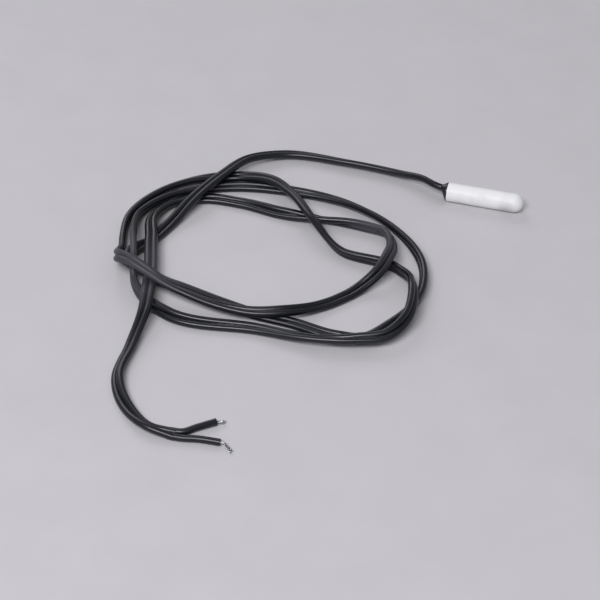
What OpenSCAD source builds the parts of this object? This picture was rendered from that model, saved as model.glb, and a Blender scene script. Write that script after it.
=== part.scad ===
// Temperature sensor: a thermistor potted in a white moulded cap on a limp two-core cable
// Frame: +X runs along the cap from mouth to tip, +Z is up, the origin is on the surface under the cap

/* [Cap] */
// Outer diameter of the moulded cap
cap_d = 6.2; // [6:0.1:8]
// Length of the cap from its mouth to its round tip
cap_length = 25; // [23:0.5:40]
// Wall thickness of the cap
cap_wall = 0.6; // [0.5:0.05:0.6]
// Radius that rounds the lip at the mouth
lip_radius = 0.2; // [0.1:0.05:0.3]

/* [Cable] */
// Outer diameter of one insulated core of the twin cable
core_d = 2.1; // [2:0.05:2.1]
// Length of cable jacket inside the cap
jacket_in_cap = 6; // [4:0.5:8]
// How far the cable and the sensing element lie off the cap's axis
cable_offset = 0.7; // [0:0.1:0.7]
// Height that the potting resin climbs along the cable outside the mouth
resin_climb = 2; // [1:0.1:2]
// Diameter of the resin where its climb ends
resin_end_d = 2.6; // [2.4:0.1:3.2]

/* [Conductors] */
// Diameter of one tinned copper strand
strand_d = 0.3; // [0.2:0.01:0.35]
// Strands laid round the middle strand of each conductor
outer_strands = 6; // [5:1:6]
// Length of conductor in which the strands make one turn
strand_pitch = 6; // [5:0.5:12]
// How far the strands part at a cut end, as a share of their lay radius
strand_fray = 0.8; // [0:0.1:1]
// Length of bare conductor between the jacket and its solder joint
bare_in_cap = 1.5; // [1:0.1:2.5]

/* [Sensing element] */
// Diameter of the thermistor bead
bead_d = 2.6; // [2:0.1:3]
// Length of the round end of the bead and its tapered coat
bead_length = 4.2; // [3.5:0.1:5]
// Resin between the bead and the closed end of the cap
bead_cover = 1; // [0.6:0.1:2]
// Diameter of a thermistor lead
lead_d = 0.4; // [0.3:0.05:0.5]
// Spacing of the two leads where they enter the bead
lead_spacing = 1; // [0.8:0.1:1.2]
// Diameter of a solder joint at its middle
joint_d = 1.35; // [1.2:0.05:1.4]
// Length of a solder joint
joint_length = 2.6; // [2:0.1:3]
// Wall thickness of the sleeve over a solder joint
sleeve_wall = 0.25; // [0.15:0.05:0.3]
// Length of sleeve that runs on past the solder joint
sleeve_overrun = 1.2; // [0.8:0.1:2]

/* [Hidden] */

$fn = 64;
up = [0, 0, 1];
cap_r = cap_d / 2;
bore_r = cap_r - cap_wall;

// Places along X: the mouth stays where the cable's route starts, and the tip follows the cap's length
mouth_x = -11.5;
tip_x = mouth_x + cap_length;
resin_x = mouth_x - resin_climb;
round_x = tip_x - cap_r;
jacket_x = mouth_x + jacket_in_cap;
joint_x = jacket_x + bare_in_cap;
sleeve_end_x = joint_x + joint_length + sleeve_overrun;
bead_tip_x = tip_x - cap_wall - bead_cover;
bead_x = bead_tip_x - bead_length;
bead_round_x = bead_tip_x - bead_d / 2;

// Angle at which the flat side of the twin cable lies where it leaves the cap, and its place there
cable_roll = 225;
exit_y = cable_offset * sin(cable_roll - 180);
exit_z = cap_r + cable_offset * cos(cable_roll - 180);
core_side = core_d / 2;
// How deep a lead and a conductor go into what holds them
lead_seat = 0.8;
conductor_seat = 1;
// Strands are pressed together by this share of their diameter
strand_press = 0.15;
strand_lay_r = strand_d * (1 - strand_press);
conductor_r = strand_lay_r + strand_d / 2;
// Straight stretches of cable outside the resin before its first bend
straight_out = 0.4;

// Route of the cable from inside the cap to the split of its cores: x, y, z, roll of the flat side
route = [
    [jacket_x, exit_y, exit_z, cable_roll], [resin_x - straight_out, exit_y, exit_z, cable_roll],
    [resin_x - 2 * straight_out, exit_y, exit_z, cable_roll],
    // Out of the resin and round to the left, over the coil
    [-16.2, 1.5, 3.8, 225], [-20, 3.5, 3.7, 225], [-28, 5.9, 2.4, 225], [-48, 7.7, 1.9, 217],
    [-69, 6.5, 1.8, 200], [-78.5, -0.4, 3.3, 200], [-84.6, -13, 4.4, 198], [-90, -26, 4, 188],
    [-94.5, -38, 1.5, 172],
    // Turn on edge at the left end, under the rest of the coil
    [-98.5, -48.5, 1.2, 176], [-101, -53, 1.9, 130], [-102.3, -56.4, 2.2, 95], [-101, -59.3, 2.2, 88],
    [-97.6, -60.5, 2, 55],
    // Back to the right along the floor
    [-93.5, -61.9, 1.4, 8], [-88.7, -64.1, 1.2, 0], [-81.6, -65.8, 1.2, 0], [-66, -69.6, 1.2, 0],
    [-57.8, -71.1, 1.1, 0], [-44, -72.2, 1.1, 0], [-30, -74.2, 1.1, 0], [-21, -73, 1.2, 6],
    [-14.2, -65.5, 2.1, 60],
    // First turn, outermost at the right
    [-9.4, -52, 2.2, 104], [-11.6, -37, 2.2, 100], [-24, -22, 2.1, 62], [-40, -13.6, 1.8, 38],
    [-60, -10.9, 1.2, 4], [-87, -16.2, 1.2, 6], [-98.3, -24.4, 2, 52], [-104.6, -36.5, 2.9, 78],
    [-102.6, -49.1, 5.5, 90], [-99.5, -57.8, 6.4, 90], [-98.4, -61.2, 6.4, 88], [-96.4, -67.4, 2.6, 88],
    [-92.2, -73, 2.2, 80],
    // Second turn, over the first at the right
    [-82, -78.8, 1.9, 44], [-54, -77.8, 1.4, 0], [-33, -78.5, 3, -22], [-23, -76.2, 3.5, 0],
    [-14.5, -72.6, 3.9, 24], [-10.2, -65, 5.5, 48], [-10.2, -57, 6.4, 55], [-11.5, -51.3, 6.2, 62],
    [-13.4, -46.2, 4.2, 76], [-18, -41, 2.1, 82], [-39, -36.5, 2.4, 64], [-49.3, -28, 5.3, 52],
    [-60.4, -15.5, 4.6, 32], [-67, -11, 4.3, 12], [-82, -9.3, 1.7, 0], [-95.3, -15.9, 1.9, 38],
    [-104.5, -27.5, 2.1, 64], [-107.8, -39.5, 2.4, 84], [-106.2, -49.6, 2.2, 90],
    // Fold at the left end, over the turns below it
    [-104.9, -54.5, 2.3, 90], [-104.8, -58.2, 3.4, 90], [-103.9, -60.9, 5.4, 84],
    [-102.4, -63.6, 7.8, 50], [-100.2, -65.5, 9.4, 10], [-97, -66.6, 9.6, 0],
    // Third turn, on top of the others at the front
    [-90.5, -68.5, 7.8, -20], [-85, -70.5, 6, -44], [-78, -71.8, 4.6, -44], [-66, -73.1, 3.6, -20],
    [-57, -73, 3.5, -8], [-47.5, -70, 3.4, 0], [-37, -62, 1.3, 0], [-28.5, -52.5, 1.6, 6],
    [-23.3, -45.5, 4.9, 22], [-22, -39.8, 6.2, 36], [-22.4, -33, 4.7, 48], [-26.5, -25.2, 2.9, 68],
    [-34, -23.2, 2.2, 82], [-47, -23, 1.8, 44], [-62, -23, 1.6, -28], [-75, -21.2, 1.2, -6],
    [-89, -22.5, 1.1, 2],
    // Free end, over the third turn at the left and down to the front
    [-97.2, -28.6, 1.9, 40], [-100, -37.8, 3.4, 32], [-97.1, -48, 4.1, 12], [-91.2, -67, 4.7, 4],
    [-89.4, -74.5, 5.6, 6], [-88.2, -80.5, 4.8, 16], [-88, -95, 1.8, 32], [-87.4, -109, 1.8, 38],
    [-81, -119.6, 1.6, 8], [-72.5, -125.8, 1.8, -32], [-64, -126.5, 1.1, 0]
];

// The two cores past the split, from inside the twin stretch to their cut ends
tail_a = [[-66, -125.3, 1.1], [-62.5, -125, 1.1], [-58.5, -121.9, 1.1], [-54, -118.4, 1.1]];
tail_b = [[-66, -127.4, 1.1], [-62, -127.3, 1.1], [-57, -126.4, 1.1], [-50.5, -126, 1.1]];

// Middle line of each bare conductor, from its core's cut end to its tip
bare_a = [[-54, -118.4, 1.1], [-53, -118.3, 0.9], [-52.2, -118, 0.8], [-51.9, -116.9, 0.8]];
bare_b = [[-50.5, -126, 1.1], [-49.3, -126, 0.9], [-47.9, -127.1, 0.8], [-46.5, -128.4, 0.8]];

function unit(v) = v / norm(v);

function place(p) = [p.x, p.y, p.z];

// Direction of a route at one of its points, the nearer neighbour counting for more
function heading(points, i) =
    let (
        here = place(points[i]),
        back = i > 0 ? here - place(points[i - 1]) : undef,
        ahead = i < len(points) - 1 ? place(points[i + 1]) - here : undef
    )
    i == 0 ? unit(ahead)
    : i == len(points) - 1 ? unit(back)
    : unit(unit(back) * norm(ahead) + unit(ahead) * norm(back));

// One ring of a swept solid: an outline set square to the route, rolled about it
function ring(centre, along, roll, outline) =
    let (
        side = unit(cross(up, along)),
        over = cross(along, side),
        wide = cos(roll) * side + sin(roll) * over,
        thick = cross(along, wide)
    )
    [for (p = outline) centre + p.x * wide + p.y * thick];

function rings_along(points, outline) = [
    for (i = [0 : len(points) - 1])
        ring(place(points[i]), heading(points, i), len(points[i]) > 3 ? points[i][3] : 0, outline)
];

// Points of a circle with few sides, one side flat below
function round_outline(r, sides) = [
    for (i = [0 : sides - 1]) r * [cos((i + 0.5) * 360 / sides), sin((i + 0.5) * 360 / sides)]
];

// Outline of the twin cable: a flat oval round both cores
function twin_outline() =
    let (half = core_d, flat = core_d / 2, rise = core_d * 0.21, run = core_d * 0.6)
    [
        [half, rise], [run, flat], [-run, flat], [-half, rise],
        [-half, -rise], [-run, -flat], [run, -flat], [half, -rise]
    ];

// A closed solid through a list of rings that have as many points each
module swept(rings) {
    sides = len(rings[0]);
    last = len(rings) - 1;
    walls = [
        for (r = [0 : last - 1], i = [0 : sides - 1])
            let (
                a = r * sides + i,
                b = r * sides + (i + 1) % sides
            )
            each [[a, a + sides, b], [b, a + sides, b + sides]]
    ];
    first_cap = [for (i = [0 : sides - 1]) i];
    last_cap = [for (i = [sides - 1 : -1 : 0]) last * sides + i];
    polyhedron(points = [for (r = rings) each r], faces = concat([first_cap], walls, [last_cap]));
}

// Puts what is drawn along X on the cap's axis, with Y across the two cores
module on_cap_axis() {
    translate([0, 0, cap_r]) rotate([180 - cable_roll, 0, 0]) children();
}

// The same, on the line where the cable leaves the cap
module on_cable_axis() {
    translate([0, exit_y, exit_z]) rotate([180 - cable_roll, 0, 0]) children();
}

// A solid of revolution about X from an outline of [x, radius] points
module turned(outline) {
    rotate([0, 90, 0]) rotate_extrude() polygon([for (p = outline) [p.y, p.x]]);
}

// A rod of one diameter between two places, both with Z at zero
module rod(from, to, d) {
    span = to - from;
    translate(from) rotate([0, 90, atan2(span.y, span.x)]) cylinder(d = d, h = norm(span));
}

module cap_solid() {
    rotate([0, 90, 0]) rotate_extrude() {
        translate([0, mouth_x + lip_radius]) square([cap_r, round_x - mouth_x - lip_radius]);
        translate([0, mouth_x]) square([cap_r - lip_radius, lip_radius]);
        translate([cap_r - lip_radius, mouth_x + lip_radius]) circle(lip_radius);
    }
    translate([round_x, 0, 0]) sphere(cap_r);
}

// The space inside the cap, from a place along X to its round end
module bore_solid(from_x) {
    translate([from_x, 0, 0]) rotate([0, 90, 0]) cylinder(r = bore_r, h = round_x - from_x);
    translate([round_x, 0, 0]) sphere(bore_r);
}

// The resin that has crept along the cable outside the mouth: a hollow-flanked cone that leans to the cable
module climb_solid(steps = 6, hollow = 1.6) {
    lean = atan2(cable_offset, resin_climb);
    base_r = (cap_r - lip_radius) * cos(lean);
    end_r = resin_end_d / 2;
    long = norm([cable_offset, resin_climb]);
    flank = [
        for (i = [0 : steps])
            let (t = i / steps)
            [-long * t, end_r + (base_r - end_r) * pow(1 - t, hollow)]
    ];
    intersection() {
        translate([mouth_x, 0, 0]) rotate([0, lean, 0])
            turned(concat([[cap_wall, 0], [cap_wall, base_r]], flank, [[-long, 0]]));
        translate([resin_x, -cap_r, -cap_r]) cube([resin_climb, cap_d, cap_d]);
    }
}

// The stretch of twin cable that lies in the resin
module cable_in_resin() {
    translate([resin_x - straight_out, 0, 0]) rotate([90, 0, 90])
        linear_extrude(jacket_x - resin_x + straight_out) polygon(twin_outline());
}

module sleeve_solid(side, d) {
    rod([jacket_x, side, 0], [sleeve_end_x, side, 0], d);
}

// A straight lead from inside its solder joint to inside the bead
module lead_solid(side) {
    rod(
        [joint_x + joint_length - lead_seat, side, 0],
        [bead_x + lead_seat, sign(side) * lead_spacing / 2, 0],
        lead_d
    );
}

// A bead with a round end and a coat that tapers back onto its two leads
module bead_solid(steps = 10) {
    bead_r = bead_d / 2;
    neck_r = (lead_spacing + lead_d) / 2 + lead_d / 4;
    nose = [for (i = [0 : steps]) bead_r * [sin(i * 90 / steps), cos(i * 90 / steps)] + [bead_round_x, 0]];
    turned(concat([[bead_x, 0], [bead_x, neck_r]], nose));
}

// A barrel of solder, thickest at its middle
module joint_solid(side, steps = 8) {
    end_r = conductor_r + lead_d / 4;
    barrel = [
        for (i = [0 : steps])
            let (t = i / steps)
            [joint_x + joint_length * t, end_r + (joint_d / 2 - end_r) * sin(180 * t)]
    ];
    translate([0, side, 0])
        turned(concat([[joint_x, 0]], barrel, [[joint_x + joint_length, 0]]));
}

module probe_cap() {
    color("white") on_cap_axis() difference() {
        cap_solid();
        bore_solid(mouth_x - lip_radius);
    }
}

module potting_resin() {
    color([0.06, 0.06, 0.07]) difference() {
        on_cap_axis() {
            bore_solid(mouth_x);
            climb_solid();
        }
        on_cable_axis() {
            cable_in_resin();
            bead_solid();
            for (side = [core_side, -core_side]) {
                sleeve_solid(side, joint_d + 2 * sleeve_wall);
                lead_solid(side);
            }
        }
    }
}

module thermistor_bead() {
    color([0.12, 0.16, 0.12]) on_cable_axis() difference() {
        bead_solid();
        for (side = [core_side, -core_side]) lead_solid(side);
    }
}

module thermistor_lead(side) {
    color("silver") on_cable_axis() lead_solid(side);
}

module solder_joint(side) {
    color([0.7, 0.71, 0.73]) on_cable_axis() difference() {
        joint_solid(side);
        rod([joint_x - conductor_seat, side, 0], [joint_x + conductor_seat, side, 0], 2 * conductor_r);
        lead_solid(side);
    }
}

module sleeve(side) {
    color([0.08, 0.08, 0.08]) on_cable_axis() difference() {
        sleeve_solid(side, joint_d + 2 * sleeve_wall);
        translate([-sleeve_wall, 0, 0]) sleeve_solid(side, joint_d);
        translate([sleeve_wall, 0, 0]) sleeve_solid(side, joint_d);
    }
}

// Points of a smooth curve through a few given ones
function curve(points, steps) = [
    for (i = [0 : len(points) - 2], k = [0 : steps - 1])
        let (
            a = points[max(i - 1, 0)], b = points[i],
            c = points[i + 1], d = points[min(i + 2, len(points) - 1)],
            t = k / steps
        )
        b + t / 2 * (c - a) + t * t / 2 * (2 * a - 5 * b + 4 * c - d) + t * t * t / 2 * (3 * b - a - 3 * c + d),
    points[len(points) - 1]
];

// Distance along a line of points up to one of them
function reach(line, i) = i == 0 ? 0 : reach(line, i - 1) + norm(line[i] - line[i - 1]);

// A twisted conductor along a line: a middle strand and others laid round it, parting by fray at the end
module strands(line, fray, sides = 8) {
    last = len(line) - 1;
    total = reach(line, last);
    outline = round_outline(strand_d / 2, sides);
    swept([for (i = [0 : last]) ring(line[i], heading(line, i), 0, outline)]);
    for (k = [1 : outer_strands]) {
        // Cut ends are a little uneven
        stop = last - (fray > 0 ? k % 3 : 0);
        swept([
            for (i = [0 : stop])
                let (
                    gone = reach(line, i),
                    turn = 360 * (gone / strand_pitch + k / outer_strands),
                    lay = strand_lay_r * (1 + fray * pow(gone / total, 3)),
                    centre = ring(line[i], heading(line, i), turn, [[lay, 0]])[0]
                )
                ring(centre, heading(line, i), turn, outline)
        ]);
    }
}

// One conductor where it is bare: its stub in the cap and the strands past its core's cut end
module conductor(side, bare) {
    color([0.78, 0.76, 0.72]) {
        on_cable_axis() strands(
            [for (i = [0 : 3]) [jacket_x + (bare_in_cap + conductor_seat) * i / 3, side, 0]], 0
        );
        strands(curve(bare, 5), strand_fray);
    }
}

module cable() {
    color([0.1, 0.1, 0.11]) {
        swept(rings_along(route, twin_outline()));
        for (tail = [tail_a, tail_b]) swept(rings_along(tail, round_outline(core_d / 2, 8)));
    }
}

probe_cap();
potting_resin();
thermistor_bead();
thermistor_lead(core_side);  // thermistor_lead_a
thermistor_lead(-core_side);  // thermistor_lead_b
solder_joint(core_side);  // solder_joint_a
solder_joint(-core_side);  // solder_joint_b
sleeve(core_side);  // sleeve_a
sleeve(-core_side);  // sleeve_b
conductor(core_side, bare_a);  // conductor_a
conductor(-core_side, bare_b);  // conductor_b
cable();
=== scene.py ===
"""Temperature sensor: a thermistor potted in a white cap, on a limp black twin cable in a loose coil."""
import math

import bpy
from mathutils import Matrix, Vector


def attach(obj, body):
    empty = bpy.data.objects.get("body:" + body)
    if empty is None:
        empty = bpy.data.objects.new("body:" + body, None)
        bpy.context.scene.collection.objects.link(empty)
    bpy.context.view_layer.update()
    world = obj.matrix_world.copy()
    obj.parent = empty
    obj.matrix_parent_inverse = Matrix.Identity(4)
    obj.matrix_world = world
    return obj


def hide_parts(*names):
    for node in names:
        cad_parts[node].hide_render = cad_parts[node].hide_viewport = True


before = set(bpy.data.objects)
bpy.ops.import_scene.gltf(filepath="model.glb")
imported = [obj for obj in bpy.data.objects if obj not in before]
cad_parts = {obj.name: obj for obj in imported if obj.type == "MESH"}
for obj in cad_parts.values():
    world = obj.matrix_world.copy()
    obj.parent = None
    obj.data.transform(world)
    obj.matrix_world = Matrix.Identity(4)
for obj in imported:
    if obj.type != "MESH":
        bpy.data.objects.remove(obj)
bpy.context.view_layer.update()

MM = 0.001

# The cap in mm: its length, radius, wall and bore, and the radius that rounds its lip
CAP_LENGTH = 25
CAP_R = 3.1
CAP_WALL = 0.6
BORE_R = CAP_R - CAP_WALL
LIP_R = 0.2
# The bevel inside its mouth: how far in it starts, and how much wider it makes the mouth
BEVEL_IN = 0.1
BEVEL_OUT = 0.08

# Places along X in mm: the mouth, where the tip turns round, and where the cable and the resin end
MOUTH_X = -11.5
ROUND_X = MOUTH_X + CAP_LENGTH - CAP_R
JACKET_X = MOUTH_X + 6

# The cable in mm: a core's radius, how far its middle lies from the cable's, and half the web's thickness
CORE_R = 1.07
CORE_SIDE = 1.03
WEB = 0.4

# Where the cable leaves the cap: how far off its axis in mm, and the roll of the flat side in degrees
CABLE_OFFSET = 0.7
CABLE_ROLL = 225
EXIT_Y = CABLE_OFFSET * math.sin(math.radians(CABLE_ROLL - 180))
EXIT_Z = CAP_R + CABLE_OFFSET * math.cos(math.radians(CABLE_ROLL - 180))

# Route of the cable from inside the cap to the split of its cores: x, y, z in mm, roll in degrees
ROUTE = [
    # Inside the potting, where its first bend starts
    (JACKET_X, EXIT_Y, EXIT_Z, CABLE_ROLL), (-11.4, EXIT_Y, EXIT_Z, CABLE_ROLL),
    (-13.7, 0.8, 3.7, CABLE_ROLL),
    # Out of the resin and round to the left, over the coil
    (-16.2, 1.5, 3.8, 225), (-20, 3.5, 3.7, 225), (-28, 5.9, 2.4, 225), (-48, 7.7, 1.9, 217),
    (-69, 6.5, 1.8, 200), (-78.5, -0.4, 3.3, 200), (-84.6, -13, 4.4, 198), (-90, -26, 4, 188),
    (-94.5, -38, 1.5, 172),
    # Turn on edge at the left end, under the rest of the coil
    (-98.5, -48.5, 1.2, 176), (-101, -53, 1.9, 130), (-102.3, -56.4, 2.2, 95), (-101, -59.3, 2.2, 88),
    (-97.6, -60.5, 2, 55),
    # Back to the right along the floor
    (-93.5, -61.9, 1.4, 8), (-88.7, -64.1, 1.2, 0), (-81.6, -65.8, 1.2, 0), (-66, -69.6, 1.2, 0),
    (-57.8, -71.1, 1.1, 0), (-44, -72.2, 1.1, 0), (-30, -74.2, 1.1, 0), (-21, -73, 1.2, 6),
    (-14.2, -65.5, 2.1, 60),
    # First turn, outermost at the right
    (-9.4, -52, 2.2, 104), (-11.6, -37, 2.2, 100), (-24, -22, 2.1, 62), (-40, -13.6, 1.8, 38),
    (-60, -10.9, 1.2, 4), (-87, -16.2, 1.2, 6), (-98.3, -24.4, 2, 52), (-104.6, -36.5, 2.9, 78),
    (-102.6, -49.1, 5.5, 90), (-99.5, -57.8, 6.4, 90), (-98.4, -61.2, 6.4, 88), (-96.4, -67.4, 2.6, 88),
    (-92.2, -73, 2.2, 80),
    # Second turn, over the first at the right
    (-82, -78.8, 1.9, 44), (-54, -77.8, 1.4, 0), (-33, -78.5, 3, -22), (-23, -76.2, 3.5, 0),
    (-14.5, -72.6, 3.9, 24), (-10.2, -65, 5.5, 48), (-10.2, -57, 6.4, 55), (-11.5, -51.3, 6.2, 62),
    (-13.4, -46.2, 4.2, 76), (-18, -41, 2.1, 82), (-39, -36.5, 2.4, 64), (-49.3, -28, 5.3, 52),
    (-60.4, -15.5, 4.6, 32), (-67, -11, 4.3, 12), (-82, -9.3, 1.7, 0), (-95.3, -15.9, 1.9, 38),
    (-104.5, -27.5, 2.1, 64), (-107.8, -39.5, 2.4, 84), (-106.2, -49.6, 2.2, 90),
    # Fold at the left end, over the turns below it
    (-104.9, -54.5, 2.3, 90), (-104.8, -58.2, 3.4, 90), (-103.9, -60.9, 5.4, 84),
    (-102.4, -63.6, 7.8, 50), (-100.2, -65.5, 9.4, 10), (-97, -66.6, 9.6, 0),
    # Third turn, on top of the others at the front
    (-90.5, -68.5, 7.8, -20), (-85, -70.5, 6, -44), (-78, -71.8, 4.6, -44), (-66, -73.1, 3.6, -20),
    (-57, -73, 3.5, -8), (-47.5, -70, 3.4, 0), (-37, -62, 1.3, 0), (-28.5, -52.5, 1.6, 6),
    (-23.3, -45.5, 4.9, 22), (-22, -39.8, 6.2, 36), (-22.4, -33, 4.7, 48), (-26.5, -25.2, 2.9, 68),
    (-34, -23.2, 2.2, 82), (-47, -23, 1.8, 44), (-62, -23, 1.6, -28), (-75, -21.2, 1.2, -6),
    (-89, -22.5, 1.1, 2),
    # Free end, over the third turn at the left and down to the front
    (-97.2, -28.6, 1.9, 40), (-100, -37.8, 3.4, 32), (-97.1, -48, 4.1, 12), (-91.2, -67, 4.7, 4),
    (-89.4, -74.5, 5.6, 6), (-88.2, -80.5, 4.8, 16), (-88, -95, 1.8, 32), (-87.4, -109, 1.8, 38),
    (-81, -119.6, 1.6, 8), (-72.5, -125.8, 1.8, -32), (-64, -126.5, 1.1, 0),
]

# The two cores past the split, to their cut ends
TAIL_A = [(-66, -125.3, 1.1), (-62.5, -125, 1.1), (-58.5, -121.9, 1.1), (-54, -118.4, 1.1)]
TAIL_B = [(-66, -127.4, 1.1), (-62, -127.3, 1.1), (-57, -126.4, 1.1), (-50.5, -126, 1.1)]

# Middle line of each bare conductor, from inside its core to its tip
BARE_A = [
    (-55, -119.2, 1.1), (-54, -118.4, 1.1), (-53, -118.3, 0.9), (-52.2, -118, 0.8), (-51.9, -116.9, 0.8)]
BARE_B = [
    (-51.5, -126.1, 1.1), (-50.5, -126, 1.1), (-49.3, -126, 0.9), (-47.9, -127.1, 0.8), (-46.5, -128.4, 0.8)]

# The knife cut at a core's end: how far its edge is worn in, its bulge, and the conductor's hole in it
CUT_WEAR = 0.05
CUT_BULGE = 0.04
HOLE_R = 0.5
HOLE_DEPTH = 0.6

# A conductor's strands: their radius, how far the outer ones lie from its middle, and the length of one twist
STRAND_R = 0.14
STRAND_LAY_R = 0.25
STRAND_PITCH = 6
# How much of its radius a strand keeps at its nipped end
NIP_SHARE = 0.6
# Bare conductor in the cap, up to its solder joint and into it
STUB_LENGTH = 2.5

# The resin: its film on the cable, how far that film's end dips under the cable's skin, and its rim's radius
FILM = 0.12
FILM_DIP = 0.04
RESIN_RIM_R = CAP_R - 0.12

# Space left between the resin and the cap, so that their skins stay apart
SKIN_GAP = 0.02
# How far the soft insulation may sink into the floor
FLOOR_GIVE = 0.02

# Sides of what is round: the cap and its resin, and a bare core
CAP_SIDES = 96
CORE_SIDES = 28

# In metres, the middle of the painted sheen round the sharp fold, and of the grey patch on the cap
FOLD = Vector((-97, -66, 10)) * MM
LOW_GREY_PATCH = Vector((8.5, -2.6, 1.9)) * MM
# How far along the cable, in mm, the bend of its third turn with painted sheen lies
BEND_AT = 788


def add_camera():
    """The photograph's view: a long lens from the front, a little to the right and 42 degrees up."""
    lens = bpy.data.cameras.new("photo_view")
    lens.lens = 120
    lens.sensor_width = 36
    lens.clip_start = 0.01
    camera = bpy.data.objects.new("photo_view", lens)
    camera.location = (0.0761, -0.5026, 0.4129)
    aim = Vector((-0.0449, -0.0603, 0)) - camera.location
    camera.rotation_euler = aim.to_track_quat("-Z", "Y").to_euler()
    bpy.context.collection.objects.link(camera)
    bpy.context.scene.camera = camera


# Lines and sections

def smooth_line(points, step):
    """Points at most a step apart on a smooth line through the given ones, their roll blended too."""
    points = [Vector(p) for p in points]
    last = len(points) - 1
    gaps = [(points[i + 1] - points[i]).xyz.length for i in range(last)]
    slopes = []
    for i in range(last + 1):
        back = (points[i] - points[i - 1]) / gaps[i - 1] if i > 0 else None
        ahead = (points[i + 1] - points[i]) / gaps[i] if i < last else None
        if back is None or ahead is None:
            slopes.append(back or ahead)
        else:
            slopes.append((back * gaps[i] + ahead * gaps[i - 1]) / (gaps[i] + gaps[i - 1]))
    line = []
    for i in range(last):
        count = math.ceil(gaps[i] / step)
        for k in range(count):
            t = k / count
            line.append(
                points[i] * (1 - t) ** 2 * (1 + 2 * t) + slopes[i] * gaps[i] * t * (1 - t) ** 2
                + points[i + 1] * t * t * (3 - 2 * t) - slopes[i + 1] * gaps[i] * t * t * (1 - t))
    line.append(points[last])
    return line


def heading(line, i):
    """Direction of a line of points at one of them."""
    return (line[min(i + 1, len(line) - 1)] - line[max(i - 1, 0)]).xyz.normalized()


def ring(centre, along, roll, outline):
    """An outline in mm set square to a line at one place, rolled about it."""
    side = Vector((0, 0, 1)).cross(along).normalized()
    over = along.cross(side)
    wide = math.cos(roll) * side + math.sin(roll) * over
    thick = along.cross(wide)
    return [centre + wide * x + thick * y for x, y in outline]


def circle(r, count):
    """The outline of something round, with so many sides."""
    turns = [2 * math.pi * k / count for k in range(count)]
    return [(r * math.cos(a), r * math.sin(a)) for a in turns]


def twin_outline(steps=24):
    """The figure eight of two cores joined by a thin web."""
    # Radius of a fillet that touches both cores and the web's face; each core's arc ends where they touch
    fillet = (WEB ** 2 + CORE_SIDE ** 2 - CORE_R ** 2) / (2 * (CORE_R - WEB))
    reach = math.pi - math.atan2(WEB + fillet, CORE_SIDE)
    arc = [reach * (2 * k / steps - 1) for k in range(steps + 1)]
    right = [(CORE_SIDE + CORE_R * math.cos(a), CORE_R * math.sin(a)) for a in arc]
    left = [(-x, -y) for x, y in right]
    return right + [(0, WEB)] + left + [(0, -WEB)]


def loft(name, rings, crease=50):
    """A closed skin through rings in mm that all have as many points. It is sharp where faces meet at more
    than the crease in degrees, and its map runs along it in mm and once round it."""
    count = len(rings[0])
    last = len(rings) - 1
    travelled = [0]
    for r in range(last):
        travelled.append(travelled[-1] + (rings[r + 1][0] - rings[r][0]).length)
    mesh = bpy.data.meshes.new(name)
    faces = [tuple(reversed(range(count)))]
    for r in range(last):
        for i in range(count):
            j = (i + 1) % count
            faces.append((r * count + i, r * count + j, (r + 1) * count + j, (r + 1) * count + i))
    faces.append(tuple(last * count + i for i in range(count)))
    mesh.from_pydata([p * MM for points in rings for p in points], [], faces)
    layer = mesh.uv_layers.new(name="along_and_round")
    for face in mesh.polygons:
        seam = any(mesh.loops[k].vertex_index % count == count - 1 for k in face.loop_indices)
        for k in face.loop_indices:
            r, i = divmod(mesh.loops[k].vertex_index, count)
            layer.data[k].uv = (travelled[r], 1 if seam and i == 0 and len(face.vertices) == 4 else i / count)
    mesh.shade_smooth()
    mesh.set_sharp_from_angle(angle=math.radians(crease))
    return mesh


def add_piece(name, mesh, material, slot, *nodes):
    """Puts a mesh in the scene as a piece that stands for CAD nodes."""
    piece = bpy.data.objects.new(name, mesh)
    bpy.context.collection.objects.link(piece)
    mesh.materials.append(material)
    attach(piece, "root")
    if nodes:
        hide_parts(*nodes)
    return piece


def joined(name, meshes):
    """One mesh of several that lie apart, such as a conductor's strands."""
    parts = [bpy.data.objects.new(name, mesh) for mesh in meshes]
    for part in parts:
        bpy.context.collection.objects.link(part)
    with bpy.context.temp_override(active_object=parts[0], selected_editable_objects=parts):
        bpy.ops.object.join()
    mesh = parts[0].data
    bpy.data.objects.remove(parts[0])
    mesh.name = name
    return mesh


# The cable and its bare ends

def twin_cable():
    """The twin cable from inside the cap to its split, and the line it follows."""
    line = smooth_line(ROUTE, step=1.2)
    for p in line:
        # No core sinks deeper, whatever the roll
        p.z = max(p.z, CORE_SIDE * abs(math.sin(math.radians(p.w))) + CORE_R - FLOOR_GIVE)
    outline = twin_outline()
    rings = [ring(p.xyz, heading(line, i), math.radians(p.w), outline) for i, p in enumerate(line)]
    return loft("twin_cable", rings, crease=25), [p.xyz for p in line]


def core_tail(name, points):
    """One core past the split, with a knife-cut end that its conductor comes out of."""
    line = smooth_line(points, step=0.6)
    rings = [ring(p, heading(line, i), 0, circle(CORE_R, CORE_SIDES)) for i, p in enumerate(line)]
    end, along = line[-1], heading(line, len(line) - 1)
    cut = [(CORE_R - CUT_WEAR, CUT_BULGE), (HOLE_R, CUT_BULGE / 2), (HOLE_R - CUT_BULGE, -HOLE_DEPTH)]
    for r, forward in cut:
        rings.append(ring(end + along * forward, along, 0, circle(r, CORE_SIDES)))
    return loft(name, rings)


def strand(line, sides=10):
    """One round wire along a line, its end nipped to a dull point."""
    rings = [ring(p, heading(line, i), 0, circle(STRAND_R, sides)) for i, p in enumerate(line)]
    end, along = line[-1], heading(line, len(line) - 1)
    rings.append(ring(end + along * STRAND_R / 2, along, 0, circle(STRAND_R * NIP_SHARE, sides)))
    return loft("strand", rings)


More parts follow.
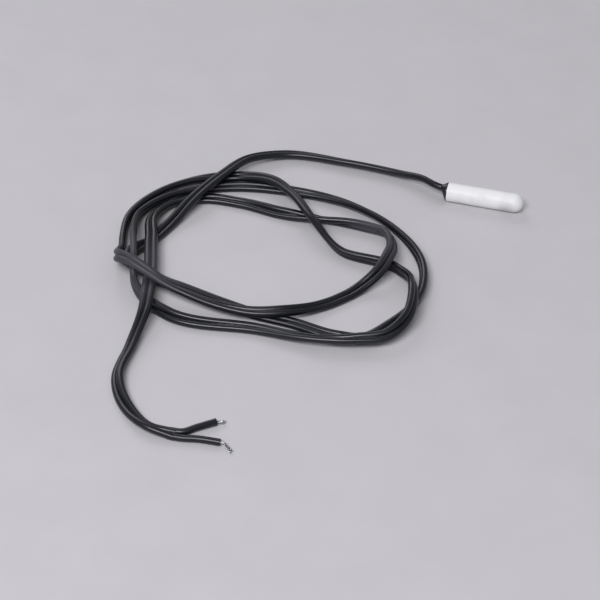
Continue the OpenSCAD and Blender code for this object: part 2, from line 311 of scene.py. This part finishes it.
def stranded(points, spread, stops):
    """A twisted bundle of strands along a line, the last one in its middle. They part at its tip by the
    spread, and each stop says at what share of the line a strand ends."""
    line = smooth_line(points, step=0.15)
    reach = [0]
    for a, b in zip(line, line[1:]):
        reach.append(reach[-1] + (b - a).length)
    strands = []
    for k, stop in enumerate(stops):
        wire = []
        for i, p in enumerate(line):
            gone = reach[i] / reach[-1]
            if gone > stop:
                break
            turn = 2 * math.pi * (reach[i] / STRAND_PITCH + k / (len(stops) - 1))
            lay = 0 if k == len(stops) - 1 else STRAND_LAY_R * (1 + spread * gone ** 3)
            wire.append(ring(p, heading(line, i), turn, [(lay, 0)])[0])
        strands.append(strand(wire))
    return strands


# The cap and the resin

def on_cap_axis(x, across, up):
    """A place in the cap, whose frame is turned to lie across the two cores."""
    turn = math.radians(180 - CABLE_ROLL)
    return Vector((
        x, across * math.cos(turn) - up * math.sin(turn),
        CAP_R + across * math.sin(turn) + up * math.cos(turn)))


def round_end(r, steps, degrees=89.5):
    """Profile of a round end, as places along X and radii, from its start to just short of the cap's axis."""
    turns = [math.radians(degrees * k / steps) for k in range(1, steps + 1)]
    return [(ROUND_X + r * math.sin(a), r * math.cos(a)) for a in turns]


def turned(profile):
    """Rings round the cap's axis, one for each place along X and radius of a profile."""
    return [[on_cap_axis(x, y, z) for y, z in circle(r, CAP_SIDES)] for x, r in profile]


def cap_shell():
    """The moulded cap: a thin tube with a soft lip, closed by a round end."""
    inside = round_end(BORE_R, 24)[::-1] + [(ROUND_X, BORE_R)]
    bevel = [(MOUTH_X + BEVEL_IN, BORE_R), (MOUTH_X, BORE_R + BEVEL_OUT)]
    corner = [math.radians(90 * k / 8) for k in range(9)]
    lip = [(MOUTH_X + LIP_R * (1 - math.cos(a)), CAP_R - LIP_R * (1 - math.sin(a))) for a in corner]
    lip_x = MOUTH_X + LIP_R
    outside = [(lip_x + (ROUND_X - lip_x) * k / 11, CAP_R) for k in range(1, 12)] + round_end(CAP_R, 32)
    return loft("cap_shell", [points[::-1] for points in turned(inside + bevel + lip + outside)])


def cable_side(angle, r, filled):
    """How far the cable's skin is from its middle at an angle; filled goes from figure eight to flat oval."""
    c, s = abs(math.cos(angle)), abs(math.sin(angle))
    eight = c * CORE_SIDE + math.sqrt((c * CORE_SIDE) ** 2 - CORE_SIDE ** 2 + r ** 2)
    oval = eight if s * eight < r and c * eight > CORE_SIDE else r / s
    return eight + (oval - eight) * filled


def line_at(line, x):
    """Where a line that runs towards -X passes a place along X."""
    for a, b in zip(line, line[1:]):
        if b.x <= x:
            return a.lerp(b, (a.x - x) / (a.x - b.x))


def potting(cable_line):
    """The potting: a plug in the bore that wets the whole mouth and climbs the cable in a steep cone."""
    plug_r = BORE_R - SKIN_GAP
    plug = round_end(plug_r, 12, 89)[::-1] + [(ROUND_X, plug_r), (MOUTH_X + SKIN_GAP, plug_r)]
    rings = turned(plug + [(MOUTH_X - SKIN_GAP / 2, BORE_R + BEVEL_OUT + SKIN_GAP)])
    # How far out of the mouth, and how much of the cable's own shape and place the resin has taken there
    climb = [
        (0.0, 0.0), (0.2, 0.0), (0.34, 0.015), (0.46, 0.05), (0.62, 0.14), (0.85, 0.29), (1.1, 0.45),
        (1.35, 0.6), (1.6, 0.74), (1.85, 0.86), (2.1, 0.95), (2.35, 1.0)]
    for out, share in climb:
        x = MOUTH_X - out
        away = (line_at(cable_line, x) - on_cap_axis(x, 0, 0)) * share
        points = []
        for k in range(CAP_SIDES):
            a = 2 * math.pi * k / CAP_SIDES
            skin = cable_side(a, CORE_R + FILM * (1 - share) - FILM_DIP * share, 1 - share ** 6)
            r = RESIN_RIM_R + (skin - RESIN_RIM_R) * share
            points.append(on_cap_axis(x, r * math.cos(a), r * math.sin(a)) + away)
        rings.append(points)
    return loft("potting", [points[::-1] for points in rings])


# Materials

def linear(colour):
    """An sRGB colour as #RRGGBB in the linear values that shaders take, opaque."""
    parts = [int(colour[k:k + 2], 16) / 255 for k in (1, 3, 5)]
    return [p / 12.92 if p <= 0.04045 else ((p + 0.055) / 1.055) ** 2.4 for p in parts] + [1]


def scale_of(size):
    """The scale of a noise whose features are about a size in mm."""
    return 1 / (size * MM)


def add_node(tree, kind, settings=None, values=None, links=None):
    """Adds a node: settings are its own choices, values its inputs' numbers, links what feeds its inputs."""
    node = tree.nodes.new("ShaderNode" + kind)
    for key, value in (settings or {}).items():
        setattr(node, key, value)
    for key, value in (values or {}).items():
        node.inputs[key].default_value = value
    for key, source in (links or {}).items():
        tree.links.new(source, node.inputs[key])
    return node


def start_material(name, **finish):
    """A material with its own shader, whose constant inputs are given by name."""
    material = bpy.data.materials.new(name)
    material.use_nodes = True
    tree = material.node_tree
    shader = tree.nodes["Principled BSDF"]
    for key, value in finish.items():
        shader.inputs[key].default_value = value
    return material, tree, shader


def set_ramp(ramp, stops):
    """Gives a colour ramp its two stops: place and colour."""
    for stop, (place, colour) in zip(ramp.elements, stops):
        stop.position = place
        stop.color = linear(colour)


def near(tree, where, spot, full, gone):
    """How near a surface point is to a spot: 1 within full of it and 0 past gone, in the units of where."""
    away = add_node(tree, "VectorMath", {"operation": "DISTANCE"}, {1: spot}, {0: where})
    return add_node(tree, "MapRange", {"interpolation_type": "SMOOTHSTEP"},
                    {"From Min": full, "From Max": gone, "To Min": 1, "To Max": 0},
                    {"Value": away.outputs["Value"]}).outputs["Result"]


def cable_pvc():
    """Plasticised PVC, extruded over both wires: a glossy blue-black with long drawn lines from the die, a
    fine grain, soft patches of duller skin, and a lighter, rougher grey painted in as sheen where the high
    fold and one bend catch broad light."""
    material, tree, shader = start_material("pvc_black_extruded", IOR=1.53)
    place = add_node(tree, "TexCoord")
    # Die lines: 25 mm long, and 40 of them round the section, so 0.2 to 0.3 mm across
    stretched = add_node(tree, "Mapping", values={"Scale": (1 / 25, 40, 1)},
                         links={"Vector": place.outputs["UV"]})
    lines = add_node(tree, "TexNoise", values={"Scale": 1, "Detail": 3, "Roughness": 0.6},
                     links={"Vector": stretched.outputs["Vector"]})
    # Grain: finer in the real skin, and drawn at 0.345 mm so that it shows
    grain = add_node(tree, "TexNoise", values={"Scale": scale_of(0.345), "Detail": 2},
                     links={"Vector": place.outputs["Object"]})
    # Bloom: soft patches 14.3 mm across
    bloom = add_node(tree, "TexNoise", values={"Scale": scale_of(14.3), "Detail": 3},
                     links={"Vector": place.outputs["Object"]})
    tone = add_node(tree, "ValToRGB", links={"Fac": bloom.outputs["Fac"]})
    set_ramp(tone.color_ramp, [(0.35, "#0B0D13"), (0.7, "#14161C")])
    # Painted sheen, a lighter skin standing in for broad light caught: round the fold by distance, and at the
    # bend by length along the cable
    painted_sheen = add_node(tree, "Math", {"operation": "MAXIMUM"}, links={
        0: near(tree, place.outputs["Object"], FOLD, full=8 * MM, gone=22 * MM),
        1: near(tree, place.outputs["UV"], (BEND_AT, 0.5, 0), full=6, gone=22)}).outputs["Value"]
    # The painted sheen: a lighter grey mixed into the base colour at the fold and the bend
    sheen_mixed = add_node(tree, "Mix", {"data_type": "RGBA"}, {"B": linear("#38383F")},
                    {"Factor": painted_sheen, "A": tone.outputs["Color"]})
    tree.links.new(sheen_mixed.outputs["Result"], shader.inputs["Base Color"])
    gloss = add_node(tree, "MapRange",
                     values={"From Min": 0.3, "From Max": 0.7, "To Min": 0.24, "To Max": 0.38},
                     links={"Value": bloom.outputs["Fac"]})
    rougher = add_node(tree, "MapRange", values={"To Min": 0, "To Max": 0.2}, links={"Value": painted_sheen})
    rough = add_node(tree, "Math", {"operation": "ADD"},
                     links={0: gloss.outputs["Result"], 1: rougher.outputs["Result"]})
    tree.links.new(rough.outputs["Value"], shader.inputs["Roughness"])
    drawn = add_node(tree, "Bump", values={"Strength": 0.1, "Distance": 0.06 * MM},
                     links={"Height": lines.outputs["Fac"]})
    fine = add_node(tree, "Bump", values={"Strength": 0.1, "Distance": 0.05 * MM},
                    links={"Height": grain.outputs["Fac"], "Normal": drawn.outputs["Normal"]})
    tree.links.new(fine.outputs["Normal"], shader.inputs["Normal"])
    return material


def cap_plastic():
    """White ABS, injection moulded: a soft satin white with a hardly seen orange peel, faint smudges from
    handling, and a greyer patch low on the front by the tip."""
    material, tree, shader = start_material("abs_white_moulded", IOR=1.54)
    place = add_node(tree, "TexCoord")
    # Smudges: 5.55 mm across
    smudge = add_node(tree, "TexNoise", values={"Scale": scale_of(5.55), "Detail": 4, "Roughness": 0.6},
                      links={"Vector": place.outputs["Object"]})
    tone = add_node(tree, "ValToRGB", links={"Fac": smudge.outputs["Fac"]})
    set_ramp(tone.color_ramp, [(0.3, "#E7E7E6"), (0.5, "#F2F2F1")])
    # The greyer patch low by the tip, broken up by the same pattern as the smudges
    grey_patch = add_node(tree, "Math", {"operation": "MULTIPLY"}, links={
        0: near(tree, place.outputs["Object"], LOW_GREY_PATCH, full=0.8 * MM, gone=4.5 * MM),
        1: smudge.outputs["Fac"]})
    patched = add_node(tree, "Mix", {"data_type": "RGBA"}, {"B": linear("#B4B4B3")},
                       {"Factor": grey_patch.outputs["Value"], "A": tone.outputs["Color"]})
    tree.links.new(patched.outputs["Result"], shader.inputs["Base Color"])
    gloss = add_node(tree, "MapRange",
                     values={"From Min": 0.3, "From Max": 0.6, "To Min": 0.6, "To Max": 0.46},
                     links={"Value": smudge.outputs["Fac"]})
    tree.links.new(gloss.outputs["Result"], shader.inputs["Roughness"])
    # Orange peel: 0.5 mm dimples
    peel = add_node(tree, "TexNoise", values={"Scale": scale_of(0.5), "Detail": 1},
                    links={"Vector": place.outputs["Object"]})
    bump = add_node(tree, "Bump", values={"Strength": 0.08, "Distance": 0.05 * MM},
                    links={"Height": peel.outputs["Fac"]})
    tree.links.new(bump.outputs["Normal"], shader.inputs["Normal"])
    return material


def potting_epoxy():
    """Black epoxy, poured and self-levelled: a wet gloss with slow waves in it."""
    material, tree, shader = start_material("epoxy_black_poured", IOR=1.55, Roughness=0.3)
    place = add_node(tree, "TexCoord")
    # Waves: 1.11 mm across
    waves = add_node(tree, "TexNoise", values={"Scale": scale_of(1.11), "Detail": 2},
                     links={"Vector": place.outputs["Object"]})
    tone = add_node(tree, "ValToRGB", links={"Fac": waves.outputs["Fac"]})
    set_ramp(tone.color_ramp, [(0.3, "#0E0F12"), (0.7, "#16171B")])
    tree.links.new(tone.outputs["Color"], shader.inputs["Base Color"])
    bump = add_node(tree, "Bump", values={"Strength": 0.2, "Distance": 0.2 * MM},
                    links={"Height": waves.outputs["Fac"]})
    tree.links.new(bump.outputs["Normal"], shader.inputs["Normal"])
    return material


def tinned_copper():
    """Tinned copper wire, drawn: bright pale metal, dulled to grey in places by handling."""
    material, tree, shader = start_material("tinned_copper_drawn", Metallic=1)
    place = add_node(tree, "TexCoord")
    # Dull spots: 0.625 mm across
    dull = add_node(tree, "TexNoise", values={"Scale": scale_of(0.625), "Detail": 3},
                    links={"Vector": place.outputs["Object"]})
    tone = add_node(tree, "ValToRGB", links={"Fac": dull.outputs["Fac"]})
    set_ramp(tone.color_ramp, [(0.38, "#7E7F83"), (0.55, "#CDCED2")])
    tree.links.new(tone.outputs["Color"], shader.inputs["Base Color"])
    gloss = add_node(tree, "MapRange",
                     values={"From Min": 0.35, "From Max": 0.6, "To Min": 0.5, "To Max": 0.22},
                     links={"Value": dull.outputs["Fac"]})
    tree.links.new(gloss.outputs["Result"], shader.inputs["Roughness"])
    return material


def inner_finish(name, dark, light, patch, **finish):
    """A finish for what is potted in the cap: two tones in patches of a size in mm, with a bump to match."""
    material, tree, shader = start_material(name, **finish)
    place = add_node(tree, "TexCoord")
    patches = add_node(tree, "TexNoise", values={"Scale": scale_of(patch), "Detail": 2},
                       links={"Vector": place.outputs["Object"]})
    tone = add_node(tree, "ValToRGB", links={"Fac": patches.outputs["Fac"]})
    set_ramp(tone.color_ramp, [(0.35, dark), (0.65, light)])
    tree.links.new(tone.outputs["Color"], shader.inputs["Base Color"])
    bump = add_node(tree, "Bump", values={"Strength": 0.15, "Distance": 0.05 * MM},
                    links={"Height": patches.outputs["Fac"]})
    tree.links.new(bump.outputs["Normal"], shader.inputs["Normal"])
    return material


def table_laminate():
    """A pale grey laminate table top, pressed: matt, with a very faint mottle."""
    material, tree, shader = start_material("laminate_grey_pressed", IOR=1.5, Roughness=0.7)
    place = add_node(tree, "TexCoord")
    # Mottle: 22.2 mm across
    mottle = add_node(tree, "TexNoise", values={"Scale": scale_of(22.2), "Detail": 6, "Roughness": 0.6},
                      links={"Vector": place.outputs["Object"]})
    tone = add_node(tree, "ValToRGB", links={"Fac": mottle.outputs["Fac"]})
    set_ramp(tone.color_ramp, [(0.3, "#C7C5C6"), (0.7, "#CBC9CA")])
    tree.links.new(tone.outputs["Color"], shader.inputs["Base Color"])
    return material


# Floor and light

# Daylight a little bluer than the lens takes for white
DAYLIGHT = "#F9F9FF"
# Middle of the coil, in metres
COIL_MIDDLE = Vector((-0.05, -0.06, 0))


def add_floor():
    """A plain pale floor, level with what the cable and the cap lie on."""
    # Metres from its middle to each side
    far = 3
    mesh = bpy.data.meshes.new("floor")
    mesh.from_pydata([(-far, -far, 0), (far, -far, 0), (far, far, 0), (-far, far, 0)], [], [(0, 1, 2, 3)])
    floor = bpy.data.objects.new("floor", mesh)
    bpy.context.collection.objects.link(floor)
    mesh.materials.append(table_laminate())


def add_softbox(name, place, size, power):
    """A soft lamp that faces the middle of the coil."""
    light = bpy.data.lights.new(name, "AREA")
    light.shape = "RECTANGLE"
    light.size, light.size_y = size
    light.energy = power
    light.color = linear(DAYLIGHT)[:3]
    lamp = bpy.data.objects.new(name, light)
    lamp.location = place
    lamp.rotation_euler = (COIL_MIDDLE - lamp.location).to_track_quat("-Z", "Y").to_euler()
    bpy.context.collection.objects.link(lamp)


def add_light():
    """Even studio light: a pale room, a softbox above the front and a weaker window at the back left."""
    world = bpy.data.worlds.new("room")
    world.use_nodes = True
    room = world.node_tree.nodes["Background"]
    room.inputs["Color"].default_value = linear(DAYLIGHT)
    room.inputs["Strength"].default_value = 0.3
    bpy.context.scene.world = world
    add_softbox("softbox_front", place=(-0.15, -0.78, 1), size=(0.75, 0.4), power=11)
    add_softbox("window_back_left", place=(-0.7, 0.75, 0.75), size=(0.8, 0.6), power=3.5)


# Putting it together

add_camera()

black_pvc = cable_pvc()
tinned = tinned_copper()

cable_mesh, cable_line = twin_cable()
cable = add_piece("twin_cable", cable_mesh, black_pvc, "cable_jacket", "cable")
tail_a = add_piece("core_tail_a", core_tail("core_tail_a", TAIL_A), black_pvc, "cable_jacket", "cable")
tail_b = add_piece("core_tail_b", core_tail("core_tail_b", TAIL_B), black_pvc, "cable_jacket", "cable")

# Each conductor: its stub in the cap, which ends in its solder joint, and its bare strands
for side, end, points, spread, stops in (
        (1, "a", BARE_A, 0.6, (0.8, 1, 0.7, 0.95, 0.85, 1, 0.9)),
        (-1, "b", BARE_B, 0.9, (1, 0.92, 0.97, 0.9, 1, 0.94, 0.96))):
    stub = [on_cap_axis(x, side * CORE_SIDE, CABLE_OFFSET) for x in (JACKET_X, JACKET_X + STUB_LENGTH)]
    wires = stranded(stub, 0, (1,) * len(stops)) + stranded(points, spread, stops)
    name = "bare_conductor_" + end
    add_piece(name, joined(name, wires), tinned, "tinned_copper", "conductor_" + end)

add_piece("cap_shell", cap_shell(), cap_plastic(), "cap_plastic", "probe_cap")
add_piece("potting", potting(cable_line), potting_epoxy(), "epoxy", "potting_resin")

# What is potted in the cap stays as the CAD has it. For each kind of piece: the name of its finish, its two
# tones, the size of their patches in mm, and what its shader starts from
INNER = {
    # Epoxy dip coat: dark green-black, glossy
    "thermistor_bead": ("epoxy_dipped", "#16201A", "#1E2A22", 1.2, {"Roughness": 0.25, "IOR": 1.55}),
    # Tinned wire: bright, drawn
    "thermistor_lead": ("wire_tinned_drawn", "#C6C6C8", "#DCDCDE", 0.6, {"Metallic": 1, "Roughness": 0.25}),
    # Tin solder, set from the melt: satin grey with a slow wave
    "solder_joint": ("solder_tin_set", "#A9ABAF", "#C4C6CA", 0.9, {"Metallic": 1, "Roughness": 0.38}),
    # Polyolefin sleeve, shrunk on: dull black with a leathery grain
    "sleeve": ("polyolefin_shrunk", "#151515", "#1F1F20", 0.4, {"Roughness": 0.6, "IOR": 1.5}),
}
for start, (name, dark, light, patch, finish) in INNER.items():
    material = inner_finish(name, dark, light, patch, **finish)
    for node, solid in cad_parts.items():
        if node.startswith(start):
            solid.data.materials.clear()
            solid.data.materials.append(material)

add_floor()
add_light()

bpy.context.scene.view_settings.view_transform = "Standard"
